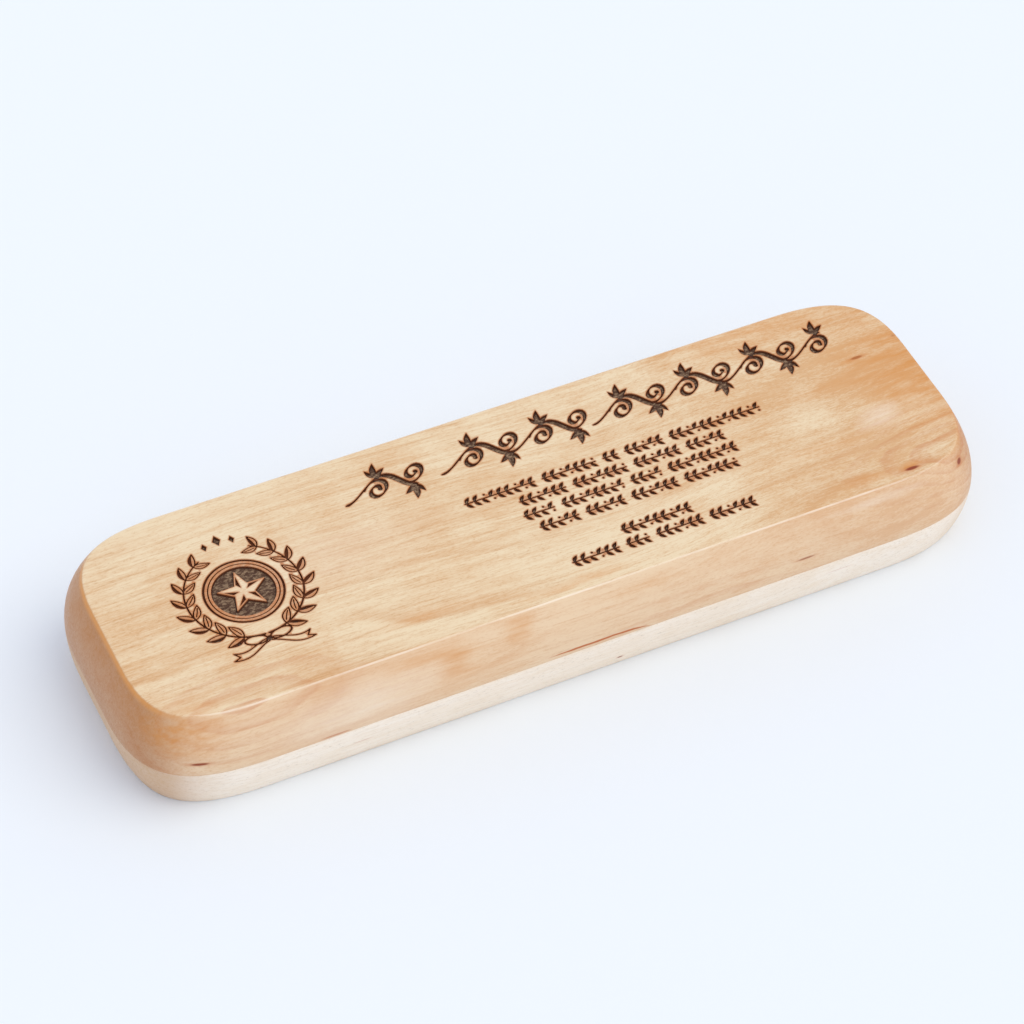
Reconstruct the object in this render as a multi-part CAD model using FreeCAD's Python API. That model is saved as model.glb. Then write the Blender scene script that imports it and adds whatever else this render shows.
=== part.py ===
import FreeCAD, Part
import os

# Engraved maple presentation case for two pens, closed.
# Millimetres. +X runs along the case, +Y points to the hinges at the back, +Z is up.
# The origin is on the table, under the middle of the wood.

vec = FreeCAD.Vector

# Outside of the wood
case_length = 175.0       # along X, where the lid meets the base
case_width = 55.5         # along Y, at the same height
base_height = 10.4        # from the table to where the lid meets the base
lid_height = 12.2         # from there to the flat top
corner_length = 23.5      # how far each corner's curve runs along X
corner_width = 20.5       # how far it runs along Y
corner_fullness = 0.74    # 0.55 would be a quarter ellipse and 1 a sharp corner
top_inset = 3.7           # how far the sides curve in between the joint and the top
foot_inset = 2.2          # how far they tuck in between the joint and the table
top_edge_round = 0.6
foot_edge_round = 0.4

# Pockets routed into the two halves
end_rim = 10.0            # flat rim left at each end
side_rim = 6.75           # flat rim left along the front and the back
pocket_corner = 12.0
base_floor = 2.9          # wood left under the base's pocket
lid_ceiling = 3.2         # wood left over the lid's pocket

# Flocked insert in the base
insert_gap = 0.2          # all round, inside the pocket
insert_drop = 0.5         # how far its top lies under the rim
groove_radius = 7.2       # one groove for each pen
groove_end_wall = 4.3     # insert left beyond each end of a groove
groove_floor = 1.2        # insert left under a groove
notch_radius = 16.0       # trough for the fingers, across the middle
notch_floor = 2.5         # insert left under the trough
notch_side_wall = 5.8     # insert left beyond each end of the trough

# Soft pad in the lid
pad_thickness = 2.0
pad_gap = 0.2

# Two brass butt hinges let into the back rim
hinge_length = 20.0
hinge_corner_gap = 2.0    # straight wood between a hinge and the corner's curve
leaf_lip = 1.15           # rim left between a leaf and the pocket
leaf_thickness = 0.75
leaf_recess = 0.05        # under the rim's surface
leaf_side_gap = 0.1       # leaf to the side of its recess in the wood
barrel_radius = 1.5
barrel_gap = 0.3          # barrel to the back of the wood
knuckle_gap = 0.1         # between knuckles, along X
pin_radius = 0.7
pin_tight_gap = 0.02      # in the base's knuckles, which hold the pin
pin_running_gap = 0.05    # in the lid's knuckle, which turns on it
pin_head_radius = 1.1
pin_head_thickness = 0.4

# Countersunk screws, two in each leaf
screw_spacing = 11.0
screw_radius = 0.75
screw_head_radius = 1.3
screw_head_height = 0.5
screw_shank_length = 3.6
screw_tip_length = 0.9
screw_slot_width = 0.35
screw_slot_depth = 0.25
screw_gap = 0.05          # to the leaf's hole and to the wood's pilot hole

# Disc magnets in the front rims
magnet_corner_gap = 34.0  # straight wood between a magnet's centre and the corner's curve
magnet_radius = 2.0
magnet_thickness = 2.0
magnet_recess = 0.15      # under the rim's surface
magnet_gap = 0.05         # to the side of its hole

# Worked out from the sizes above
case_height = base_height + lid_height
pocket_length = case_length - 2 * end_rim
pocket_width = case_width - 2 * side_rim
insert_length = pocket_length - 2 * insert_gap
insert_width = pocket_width - 2 * insert_gap
insert_top = base_height - insert_drop
straight_end = case_length / 2 - corner_length
hinge_x = straight_end - hinge_corner_gap - hinge_length / 2
magnet_x = straight_end - magnet_corner_gap
back_wall = case_width / 2
barrel_y = back_wall + barrel_gap + barrel_radius
leaf_width = side_rim - leaf_lip
leaf_middle_y = back_wall - leaf_width / 2
magnet_y = -(case_width / 2 - side_rim / 2)
hinge_places = {"left": -hinge_x, "right": hinge_x}
magnet_places = {"left": -magnet_x, "right": magnet_x}
down, up = -1, 1


def outline(inset, height):
    # The case's outline at one height, shrunk by inset all round.
    half_x = case_length / 2 - inset
    half_y = case_width / 2 - inset
    run_x = corner_length - inset
    run_y = corner_width - inset
    corners = []
    for side_x, side_y in ((1, 1), (-1, 1), (-1, -1), (1, -1)):
        poles = [
            vec(side_x * half_x, side_y * (half_y - run_y), height),
            vec(side_x * half_x, side_y * (half_y - run_y * (1 - corner_fullness)), height),
            vec(side_x * (half_x - run_x * (1 - corner_fullness)), side_y * half_y, height),
            vec(side_x * (half_x - run_x), side_y * half_y, height),
        ]
        corners.append(poles if side_x == side_y else poles[::-1])
    edges = []
    for number, poles in enumerate(corners):
        curve = Part.BezierCurve()
        curve.setPoles(poles)
        edges.append(curve.toShape())
        following = corners[(number + 1) % len(corners)]
        edges.append(Part.makeLine(poles[-1], following[0]))
    return Part.Wire(edges)


def curved_block(start, rise, full_inset):
    # A slab whose sides start upright at height start and curve in by full_inset over rise.
    wires = [outline(full_inset * part ** 2, start + rise * part) for part in (0, 0.5, 1)]
    return Part.makeLoft(wires, True, False)


def round_rim(shape, height, radius):
    # Rounds every edge that lies wholly at one height.
    edges = [
        edge
        for edge in shape.Edges
        if abs(edge.BoundBox.ZMin - height) < 1e-4 and abs(edge.BoundBox.ZMax - height) < 1e-4
    ]
    return shape.makeFillet(radius, edges)


def block(low, high):
    return Part.makeBox(high[0] - low[0], high[1] - low[1], high[2] - low[2], vec(*low))


def rounded_block(length, width, corner, bottom, top):
    shape = block((-length / 2, -width / 2, bottom), (length / 2, width / 2, top))
    upright = [edge for edge in shape.Edges if edge.BoundBox.ZLength > (top - bottom) / 2]
    return shape.makeFillet(corner, upright)


def rod_x(radius, start, end, y, z):
    return Part.makeCylinder(radius, end - start, vec(start, y, z), vec(1, 0, 0))


def knuckle_spans(centre_x):
    # Three knuckles: the base holds the outer two and the lid the middle one.
    pitch = hinge_length / 3
    spans = []
    for number in range(3):
        start = centre_x - hinge_length / 2 + number * pitch
        lead = knuckle_gap / 2 if number > 0 else 0
        trail = knuckle_gap / 2 if number < 2 else 0
        spans.append((start + lead, start + pitch - trail))
    return {down: [spans[0], spans[2]], up: [spans[1]]}


def screw_places(centre_x):
    return [centre_x - screw_spacing / 2, centre_x + screw_spacing / 2]


def leaf_heights(side):
    near = base_height + side * leaf_recess
    return sorted((near, near + side * leaf_thickness))


def countersink(x, side, gap):
    # The cone of a screw's head, wide end flush with the leaf.
    top = vec(x, leaf_middle_y, base_height + side * leaf_recess)
    return Part.makeCone(
        screw_head_radius + gap, screw_radius + gap, screw_head_height, top, vec(0, 0, side)
    )


def hinge_leaf(centre_x, side, pin_gap):
    low, high = leaf_heights(side)
    leaf = block(
        (centre_x - hinge_length / 2, back_wall - leaf_width, low),
        (centre_x + hinge_length / 2, back_wall, high),
    )
    for start, end in knuckle_spans(centre_x)[side]:
        tab = block((start, back_wall, low), (end, barrel_y, high))
        leaf = leaf.fuse([tab, rod_x(barrel_radius, start, end, barrel_y, base_height)])
    ends = (centre_x - hinge_length, centre_x + hinge_length)
    leaf = leaf.cut(rod_x(pin_radius + pin_gap, *ends, barrel_y, base_height))
    for x in screw_places(centre_x):
        hole = Part.makeCylinder(
            screw_radius + screw_gap, high - low, vec(x, leaf_middle_y, low), vec(0, 0, 1)
        )
        leaf = leaf.cut([hole, countersink(x, side, screw_gap)])
    return leaf.removeSplitter()


def hinge_pin(centre_x):
    end = hinge_length / 2 + pin_tight_gap
    shaft = rod_x(pin_radius, centre_x - end, centre_x + end, barrel_y, base_height)
    heads = []
    for side in (-1, 1):
        face = vec(centre_x + side * end, barrel_y, base_height)
        heads.append(
            Part.makeCone(
                pin_head_radius, pin_radius, pin_head_thickness, face, vec(side, 0, 0)
            )
        )
    return shaft.fuse(heads).removeSplitter()


def screw(x, side):
    top = base_height + side * leaf_recess
    along = vec(0, 0, side)
    shank_top = vec(x, leaf_middle_y, top + side * screw_head_height)
    tip_top = shank_top + along * screw_shank_length
    shank = Part.makeCylinder(screw_radius, screw_shank_length, shank_top, along)
    tip = Part.makeCone(screw_radius, screw_radius / 4, screw_tip_length, tip_top, along)
    slot_heights = sorted((top, top + side * screw_slot_depth))
    slot = block(
        (x - screw_head_radius, leaf_middle_y - screw_slot_width / 2, slot_heights[0]),
        (x + screw_head_radius, leaf_middle_y + screw_slot_width / 2, slot_heights[1]),
    )
    return countersink(x, side, 0).fuse([shank, tip]).cut(slot).removeSplitter()


def hinge_recesses(side):
    # What is cut out of one half of the wood for both hinges: leaf recesses and pilot holes.
    cuts = []
    low, high = sorted((base_height, base_height + side * (leaf_recess + leaf_thickness)))
    for centre_x in hinge_places.values():
        reach = hinge_length / 2 + leaf_side_gap
        cuts.append(
            block(
                (centre_x - reach, back_wall - leaf_width - leaf_side_gap, low),
                (centre_x + reach, barrel_y, high),
            )
        )
        depth = screw_head_height + screw_shank_length + screw_tip_length + leaf_recess + screw_gap
        for x in screw_places(centre_x):
            mouth = vec(x, leaf_middle_y, base_height)
            cuts.append(
                Part.makeCylinder(screw_radius + screw_gap, depth, mouth, vec(0, 0, side))
            )
    return cuts


def magnet_holes(side):
    return [
        Part.makeCylinder(
            magnet_radius + magnet_gap,
            magnet_recess + magnet_thickness,
            vec(x, magnet_y, base_height),
            vec(0, 0, side),
        )
        for x in magnet_places.values()
    ]


def magnet(x, side):
    face = vec(x, magnet_y, base_height + side * magnet_recess)
    return Part.makeCylinder(magnet_radius, magnet_thickness, face, vec(0, 0, side))


def base_shell():
    # Built downwards from the joint, so that the sides start upright there.
    wood = curved_block(base_height, -base_height, foot_inset)
    wood = round_rim(wood, 0, foot_edge_round)
    pocket = rounded_block(pocket_length, pocket_width, pocket_corner, base_floor, base_height)
    return wood.cut([pocket] + hinge_recesses(down) + magnet_holes(down))


def lid_shell():
    wood = curved_block(base_height, lid_height, top_inset)
    wood = round_rim(wood, case_height, top_edge_round)
    ceiling = case_height - lid_ceiling
    pocket = rounded_block(pocket_length, pocket_width, pocket_corner, base_height, ceiling)
    return wood.cut([pocket] + hinge_recesses(up) + magnet_holes(up))


def base_insert():
    corner = pocket_corner - insert_gap
    shape = rounded_block(insert_length, insert_width, corner, base_floor, insert_top)
    # Each groove is part of a round-ended rod whose middle lies above the insert's top.
    centre_z = base_floor + groove_floor + groove_radius
    straight = insert_length / 2 - groove_end_wall - groove_radius
    for y in (-insert_width / 4, insert_width / 4):
        pieces = [rod_x(groove_radius, -straight, straight, y, centre_z)]
        for x in (-straight, straight):
            pieces.append(Part.makeSphere(groove_radius, vec(x, y, centre_z)))
        shape = shape.cut(pieces)
    notch_width = insert_width - 2 * notch_side_wall
    start = vec(0, -notch_width / 2, base_floor + notch_floor + notch_radius)
    return shape.cut(Part.makeCylinder(notch_radius, notch_width, start, vec(0, 1, 0)))


def lid_pad():
    ceiling = case_height - lid_ceiling
    return rounded_block(
        pocket_length - 2 * pad_gap,
        pocket_width - 2 * pad_gap,
        pocket_corner - pad_gap,
        ceiling - pad_thickness,
        ceiling,
    )


nodes = {
    "base_shell": base_shell(),
    "base_insert": base_insert(),
    "lid_shell": lid_shell(),
    "lid_pad": lid_pad(),
}
for where, x in hinge_places.items():
    nodes[f"hinge_{where}_base_leaf"] = hinge_leaf(x, down, pin_tight_gap)
    nodes[f"hinge_{where}_lid_leaf"] = hinge_leaf(x, up, pin_running_gap)
    nodes[f"hinge_{where}_pin"] = hinge_pin(x)
    for half, side in (("base", down), ("lid", up)):
        screws = [screw(place, side) for place in screw_places(x)]
        nodes[f"hinge_{where}_{half}_screws"] = Part.makeCompound(screws)
for where, x in magnet_places.items():
    nodes[f"base_magnet_{where}"] = magnet(x, down)
    nodes[f"lid_magnet_{where}"] = magnet(x, up)

os.makedirs("parts", exist_ok=True)
for name, shape in nodes.items():
    if not shape.isValid():
        raise ValueError(f"{name} is not a valid solid")
    shape.exportStep(f"parts/{name}.step")
    box = shape.BoundBox
    print(f"{name}: {len(shape.Solids)} solid(s), {shape.Volume:.1f} mm3,", end=" ")
    print(f"{box.XLength:.2f} x {box.YLength:.2f} x {box.ZLength:.2f}")
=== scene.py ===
from math import atan, cos, degrees, hypot, pi, radians, sin, sqrt, tan

import bmesh
import bpy
import numpy as np
from mathutils import Matrix, Vector, geometry


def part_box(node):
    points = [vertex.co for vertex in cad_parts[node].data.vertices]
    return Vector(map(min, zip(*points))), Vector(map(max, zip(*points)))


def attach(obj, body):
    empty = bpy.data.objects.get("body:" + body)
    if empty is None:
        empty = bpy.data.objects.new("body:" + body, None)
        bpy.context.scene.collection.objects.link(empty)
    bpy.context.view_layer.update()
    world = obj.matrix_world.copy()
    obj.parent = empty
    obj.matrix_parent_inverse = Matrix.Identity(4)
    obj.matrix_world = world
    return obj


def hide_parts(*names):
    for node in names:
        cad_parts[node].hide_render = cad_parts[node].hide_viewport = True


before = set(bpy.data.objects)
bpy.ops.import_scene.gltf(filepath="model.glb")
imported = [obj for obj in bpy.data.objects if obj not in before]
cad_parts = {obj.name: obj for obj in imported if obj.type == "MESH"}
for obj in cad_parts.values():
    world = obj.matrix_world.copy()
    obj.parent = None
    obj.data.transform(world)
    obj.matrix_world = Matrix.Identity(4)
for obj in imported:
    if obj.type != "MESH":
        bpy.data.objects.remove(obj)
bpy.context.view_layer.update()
mm = 0.001

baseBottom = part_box("base_shell")[0].z
lidLow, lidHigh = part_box("lid_shell")
seamHeight, topHeight = lidLow.z, lidHigh.z
halfLength, halfWidth = lidHigh.x, lidHigh.y


def hexColour(code):
    # "#EBD3B1" to the linear values that a shader wants
    channels = [int(code[i:i + 2], 16) / 255 for i in (1, 3, 5)]
    linear = [c / 12.92 if c <= 0.04045 else ((c + 0.055) / 1.055) ** 2.4 for c in channels]
    return (*linear, 1.0)


def addNode(kind, values, tree=None, **settings):
    # a value is a socket to link from, a colour code or a plain one; without a tree it's the sockets' own
    linked = {key: value for key, value in values.items() if isinstance(value, bpy.types.NodeSocket)}
    tree = tree or next(iter(linked.values())).id_data
    made = tree.nodes.new("ShaderNode" + kind)
    for key, value in settings.items():
        setattr(made, key, value)
    for key, value in values.items():
        if key in linked:
            tree.links.new(value, made.inputs[key])
        else:
            made.inputs[key].default_value = hexColour(value) if isinstance(value, str) else value
    return made


def calc(operation, first, second=0, clamp=False):
    return addNode("Math", {0: first, 1: second}, operation=operation, use_clamp=clamp).outputs[0]


def times(first, *others):
    for other in others:
        first = calc("MULTIPLY", first, other)
    return first


def plus(first, *others):
    for other in others:
        first = calc("ADD", first, other)
    return first


def remap(value, low, high, newLow=0, newHigh=1):
    # smooth step from newLow to newHigh while value goes from low to high
    values = {0: value, 1: low, 2: high, 3: newLow, 4: newHigh}
    return addNode("MapRange", values, interpolation_type="SMOOTHSTEP").outputs[0]


def vector(operation, first, second):
    return addNode("VectorMath", {0: first, 1: second}, operation=operation).outputs[0]


def awayFrom(place, middle, size):
    # distance from the middle of an ellipsoid, 1 at its edge
    away = vector("DIVIDE", vector("SUBTRACT", place, middle), size)
    return addNode("VectorMath", {0: away}, operation="LENGTH").outputs["Value"]


def noiseNode(place, scale, stretch, detail, roughness):
    moved = vector("MULTIPLY", place, stretch)
    return addNode("TexNoise", {"Vector": moved, "Scale": scale, "Detail": detail, "Roughness": roughness})


def cloud(place, scale, stretch=(1, 1, 1), detail=3, roughness=0.5):
    # noise whose features are 1 / scale long, divided again by each stretch
    return noiseNode(place, scale, stretch, detail, roughness).outputs[0]


def wobble(place, scale, stretch, reach, detail=2, roughness=0.5):
    # the same noise as a shift of about zero, up to half of reach along each axis
    noise = noiseNode(place, scale, stretch, detail, roughness).outputs[1]
    return vector("MULTIPLY", vector("SUBTRACT", noise, (0.5, 0.5, 0.5)), reach)


def blend(amount, first, second):
    return addNode("Mix", {0: amount, 6: first, 7: second}, data_type="RGBA").outputs[2]


def layered(colour, *layers):
    # each layer is how much there is of it, and its colour
    for amount, tint in layers:
        colour = blend(amount, colour, tint)
    return colour


def newMaterial(name):
    # the material, and the place on the piece in millimetres
    material = bpy.data.materials.new(name)
    material.use_nodes = True
    place = addNode("TexCoord", {}, material.node_tree).outputs["Object"]
    return material, vector("MULTIPLY", place, (1000, 1000, 1000))


def setShader(material, colour, rough, height, depth, strength, fixed):
    tree = material.node_tree
    shader = tree.nodes["Principled BSDF"]
    bump = addNode("Bump", {"Strength": strength, "Distance": depth, "Height": height})
    for socket, value in (("Base Color", colour), ("Roughness", rough), ("Normal", bump.outputs[0])):
        tree.links.new(value, shader.inputs[socket])
    for socket, value in fixed.items():
        shader.inputs[socket].default_value = value


def addObject(name, data):
    made = bpy.data.objects.new(name, data)
    bpy.context.scene.collection.objects.link(made)
    return made


def makeObject(name, mesh, body, slot, material, *replaced):
    made = addObject(name, mesh)
    mesh.materials.clear()
    mesh.materials.append(material)
    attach(made, body)
    if replaced:
        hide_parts(*replaced)
    return made


def meshFrom(made, name):
    mesh = bpy.data.meshes.new(name)
    made.to_mesh(mesh)
    return mesh


def bakedCopy(source, *wanted):
    # the mesh that the object gives once these modifiers are applied; the object itself goes
    for kind, settings in wanted:
        modifier = source.modifiers.new(kind.lower(), kind)
        for key, value in settings.items():
            setattr(modifier, key, value)
    bpy.context.view_layer.update()
    graph = bpy.context.evaluated_depsgraph_get()
    mesh = bpy.data.meshes.new_from_object(source.evaluated_get(graph), depsgraph=graph)
    bpy.data.objects.remove(source)
    return mesh


def smoothShading(mesh, sharpFrom=32):
    mesh.shade_smooth()
    mesh.set_sharp_from_angle(angle=radians(sharpFrom))
    # a flat face beside a rounded edge keeps its own flat shading
    flat = [abs(p.normal.z) > 0.99999 for p in mesh.polygons]
    kinds = {}
    for polygon in mesh.polygons:
        for key in polygon.edge_keys:
            kinds.setdefault(key, []).append(flat[polygon.index])
    sharp = mesh.attributes.get("sharp_edge") or mesh.attributes.new("sharp_edge", "BOOLEAN", "EDGE")
    for edge in mesh.edges:
        sides = kinds.get(edge.key, [])
        if len(sides) == 2 and sides[0] != sides[1]:
            sharp.data[edge.index].value = True


cameraSetup = dict(
    place=(-0.20931, -0.39689, 0.51766),
    direction=(0.30773, 0.59374, -0.74348),
    rollDegrees=2.54,
    lens=126.56,
    sensorWidth=36,
    nearest=0.01,  # nothing closer than this is drawn
)


def makeCamera(setup):
    data = bpy.data.cameras.new("camera")
    data.lens = setup["lens"]
    data.sensor_width = setup["sensorWidth"]
    data.clip_start = setup["nearest"]
    camera = addObject("camera", data)
    turn = Vector(setup["direction"]).to_track_quat("-Z", "Y").to_matrix().to_4x4()
    roll = radians(setup["rollDegrees"])
    camera.matrix_world = Matrix.Translation(setup["place"]) @ turn @ Matrix.Rotation(roll, 4, "Z")
    bpy.context.scene.camera = camera


lightSetup = dict(
    keyFrom=(0.46, -0.30, 0.84),
    keyStrength=0.97,
    keyAngle=50,  # degrees across, for soft shadows
    keyColour="#FFF5DA",
    skyColour="#E9F0FF",
    skyStrength=0.98,
)


def makeLight(setup):
    scene = bpy.context.scene
    scene.view_settings.view_transform = "Standard"
    sun = bpy.data.lights.new("keyLight", "SUN")
    sun.energy = setup["keyStrength"]
    sun.angle = radians(setup["keyAngle"])
    sun.color = hexColour(setup["keyColour"])[:3]
    lamp = addObject("keyLight", sun)
    lamp.rotation_euler = Vector(setup["keyFrom"]).to_track_quat("Z", "Y").to_euler()
    world = bpy.data.worlds.new("studio")
    world.use_nodes = True
    background = world.node_tree.nodes["Background"]
    background.inputs["Color"].default_value = hexColour(setup["skyColour"])
    background.inputs["Strength"].default_value = setup["skyStrength"]
    scene.world = world


floorSetup = dict(colour=(0.836, 0.868, 0.90, 1), size=4.0, roughness=0.85, gloss=0.15)


def makeFloor(setup):
    mesh = bpy.data.meshes.new("floor")
    half = setup["size"] / 2
    corners = [(-half, -half, 0), (half, -half, 0), (half, half, 0), (-half, half, 0)]
    mesh.from_pydata(corners, [], [(0, 1, 2, 3)])
    material = bpy.data.materials.new("paleFloor")
    material.use_nodes = True
    shader = material.node_tree.nodes["Principled BSDF"]
    shader.inputs["Base Color"].default_value = setup["colour"]
    shader.inputs["Roughness"].default_value = setup["roughness"]
    shader.inputs["Specular IOR Level"].default_value = setup["gloss"]
    mesh.materials.append(material)
    addObject("floor", mesh)


makeCamera(cameraSetup)
makeLight(lightSetup)
makeFloor(floorSetup)
print("camera, light and floor are in place")


# the two wooden halves
caseShape = dict(
    cornerLength=23.5 * mm,  # how far each corner's curve runs along the case
    cornerWidth=20.5 * mm,  # and across it
    cornerFullness=0.74,  # 0.55 is a quarter ellipse, 1 a sharp corner
    cornerSteps=26,
    longSteps=48,
    endSteps=8,
    seamBreak=0.10 * mm,  # sanded edge on each side of the seam
    sideRings=14,
)
lidShape = dict(inset=3.7 * mm, edgeRound=0.6 * mm, ceiling=3.2 * mm)
baseShape = dict(inset=2.2 * mm, edgeRound=0.4 * mm, floor=2.9 * mm)
pocketShape = dict(endRim=10 * mm, sideRim=6.75 * mm, corner=12 * mm, mouthRound=0.35 * mm)
hingeSetup = dict(leafLip=1.15 * mm, sideGap=0.1 * mm, depth=0.8 * mm)
magnetSetup = dict(gap=0.05 * mm, depth=2.15 * mm)


quarters = ((1, 1), (-1, 1), (-1, -1), (1, -1))


def bezier(poles, steps):
    t = np.linspace(0, 1, steps + 1)[:, None]
    a, b, c, d = (np.array(p) for p in poles)
    return (1 - t) ** 3 * a + 3 * (1 - t) ** 2 * t * b + 3 * (1 - t) * t ** 2 * c + t ** 3 * d


def caseOutline(inset):
    # the case seen from above, shrunk by inset, as points anticlockwise
    halfX, halfY = halfLength - inset, halfWidth - inset
    runX, runY = caseShape["cornerLength"] - inset, caseShape["cornerWidth"] - inset
    pull = 1 - caseShape["cornerFullness"]
    corners = []
    for sideX, sideY in quarters:
        poles = [
            (sideX * halfX, sideY * (halfY - runY)),
            (sideX * halfX, sideY * (halfY - runY * pull)),
            (sideX * (halfX - runX * pull), sideY * halfY),
            (sideX * (halfX - runX), sideY * halfY),
        ]
        if sideX != sideY:
            poles.reverse()
        corners.append(bezier(poles, caseShape["cornerSteps"]))
    points = []
    for number, corner in enumerate(corners):
        following = corners[(number + 1) % 4][0]
        steps = caseShape["endSteps"] if number % 2 else caseShape["longSteps"]
        points += [corner, np.linspace(corner[-1], following, steps + 1)[1:-1]]
    return np.concatenate(points)


def roundedOutline(halfX, halfY, radius, steps=14):
    points = []
    for quarter, (sideX, sideY) in enumerate(quarters):
        angles = np.linspace(quarter, quarter + 1, steps + 1) * pi / 2
        centre = np.array([sideX * (halfX - radius), sideY * (halfY - radius)])
        points.append(centre + radius * np.stack([np.cos(angles), np.sin(angles)], 1))
    return np.concatenate(points)


def circle(centre, radius, steps=72, flat=1.0):
    # the last point is the first one again
    angles = np.linspace(0, 2 * pi, steps + 1)
    return [(centre[0] + radius * cos(a), centre[1] + flat * radius * sin(a)) for a in angles]


def sideProfile(rise, fullInset, edgeRound):
    # (inset, height above the seam) from the seam to the flat far face
    seam = caseShape["seamBreak"]
    rows = [(seam * (1 - sin(a)), seam * (1 - cos(a))) for a in (0, 0.52, 1.05, 1.57)]
    lean = atan(2 * fullInset / rise)
    setBack = edgeRound * tan((pi / 2 - lean) / 2)
    stop = rise - setBack * cos(lean)
    for part in np.linspace(0, 1, caseShape["sideRings"] + 1)[1:-1]:
        height = seam + (stop - seam) * part
        rows.append((fullInset * (height / rise) ** 2, height))
    for angle in np.linspace(lean, pi / 2, 8):
        rows.append((
            fullInset + setBack - edgeRound * cos(angle),
            rise - edgeRound + edgeRound * sin(angle),
        ))
    return rows


def vertexRings(target, rings):
    return [[target.verts.new(point) for point in ring] for ring in rings]


def joinRings(target, rows):
    # four-sided faces from each ring of vertices to the next
    count = len(rows[0])
    for lower, upper in zip(rows, rows[1:]):
        for i in range(count):
            j = (i + 1) % count
            target.faces.new((lower[i], lower[j], upper[j], upper[i]))


def closedSkin(target, rings):
    # rings of points joined into one skin with a flat cap at each end
    rows = vertexRings(target, rings)
    joinRings(target, rows)
    target.faces.new(rows[0][::-1])
    target.faces.new(rows[-1])
    return target


def atHeight(outline, height):
    return [(x, y, height) for x, y in outline]


def pocketCutter(side, depth):
    # what is routed or drilled into one half from the seam; side is 1 up into the lid, -1 down

    def sunk(outline, deep):
        # an outline from outside the seam to its depth in the wood
        heights = sorted((seamHeight - side * mm, seamHeight + side * deep))
        return [atHeight(outline, height) for height in heights]

    sideRim, mouth = pocketShape["sideRim"], pocketShape["mouthRound"]
    rows = [(mouth, -2 * mouth)]
    for angle in (0, 0.4, 0.8, 1.2, pi / 2):
        rows.append((mouth * (1 - sin(angle)), mouth * (1 - cos(angle))))
    rows.append((0, depth))
    rings = []
    for flare, rise in rows:
        halfX, halfY = halfLength - pocketShape["endRim"] + flare, halfWidth - sideRim + flare
        outline = roundedOutline(halfX, halfY, pocketShape["corner"] + flare)
        rings.append(atHeight(outline, seamHeight + side * rise))
    if side < 0:
        rings.reverse()
    cutter = closedSkin(bmesh.new(), rings)
    part = "lid" if side > 0 else "base"
    gap = hingeSetup["sideGap"]
    near, far = halfWidth - sideRim + hingeSetup["leafLip"] - gap, halfWidth + 2 * mm
    for where in ("left", "right"):
        low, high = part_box(f"hinge_{where}_{part}_leaf")
        left, right = low.x - gap, high.x + gap
        mortise = [(left, near), (right, near), (right, far), (left, far)]
        closedSkin(cutter, sunk(mortise, hingeSetup["depth"]))
        low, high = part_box(f"{part}_magnet_{where}")
        bore = circle((low + high) / 2, (high.x - low.x) / 2 + magnetSetup["gap"], 48)[:-1]
        closedSkin(cutter, sunk(bore, magnetSetup["depth"]))
    return cutter


def woodHalf(name, side, rise, shape, depth):
    rings = []
    for inset, height in sideProfile(rise, shape["inset"], shape["edgeRound"]):
        rings.append(atHeight(caseOutline(inset), seamHeight + side * height))
    if side < 0:
        rings.reverse()
    block = addObject(name + "Block", meshFrom(closedSkin(bmesh.new(), rings), name))
    cutter = addObject(name + "Cutter", meshFrom(pocketCutter(side, depth), name + "Cutter"))
    mesh = bakedCopy(block, ("BOOLEAN", {"object": cutter, "operation": "DIFFERENCE", "solver": "EXACT"}))
    bpy.data.objects.remove(cutter)
    return mesh


# the engraving on the lid: places in mm, seen from above
engraving = dict(
    pitch=0.1,  # between the samples that the outlines are drawn from
    half=(76, 23),  # the sampled field, each way from the middle
    depth=0.45,
    wall=0.06,  # how far a wall leans in over that depth
    inner=0.32,  # from a wall to where the floor clears
    scorch=0.32,  # browned wood beside a cut
    tolerance=0.012,
)
emblem = dict(
    centre=(-57.0, 0.9),
    line=0.30,
    rings=((7.35, 0.46), (6.55, 0.26)),  # radius and stroke
    disc=5.95,
    star=(4.9, 2.05),  # outer and inner radius
    facet=0.60,  # how much of each half ray is cut away
    wreathRadius=10.9,
    stemFrom=-88,  # degrees; each stem starts near the bottom
    openAngle=27,  # degrees left open each side of the top
    leafPairs=8,
    leaf=(3.8, 1.45),
    leafLean=40,
    bowDrop=1.0,  # below the wreath
    bowLoop=(2.1, 1.0),
    bowTail=((0.3, -0.4), (2.8, -0.8), (4.4, -3.2), (7.6, -2.0)),
    tailHalf=(0.35, 0.85),  # half its width at the knot and at the end
    knot=1.2,
    lozenges=((0, 13.2, 1.3), (-2.7, 12.5, 0.9), (2.7, 12.5, 0.9)),
)
scrollwork = dict(
    middle=14.4,
    runs=((-31.0, -16.5, 2), (-11.5, 17.5, 4), (20.0, 69.5, 7)),  # from, to, number of scrolls
    rise=2.2,
    slant=0.36,
    scrollRadius=2.6,
    scrollTurns=1.45,
    scrollFrom=168,  # degrees, where it leaves the wave
    scrollShift=(0.12, 0.75),  # back, in widths of a scroll, and towards the wave
    scrollClosing=0.76,  # how much of its radius it loses
    thin=0.36,
    thick=1.35,
    nib=32,  # degrees that the pen is held at
    ball=0.95,
    leaves=((-42, 2.9), (0, 3.7), (42, 2.9)),
)
garland = dict(
    middle=19.3,
    rows=(
        (3.7, (9, 7, 2, 5, 12)), (0.1, (6, 7, 6, 5)), (-3.5, (4, 8, 4, 9)),
        (-7.1, (5, 5, 6, 7)), (-13.8, (9,)), (-17.3, (6, 3, 6, 6)),
    ),  # height, and the leaf pairs in each sprig
    step=1.62,
    gap=1.35,
    leaf=(1.82, 0.80),
    leafLean=50,
    bead=0.5,
    line=0.34,
)


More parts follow.
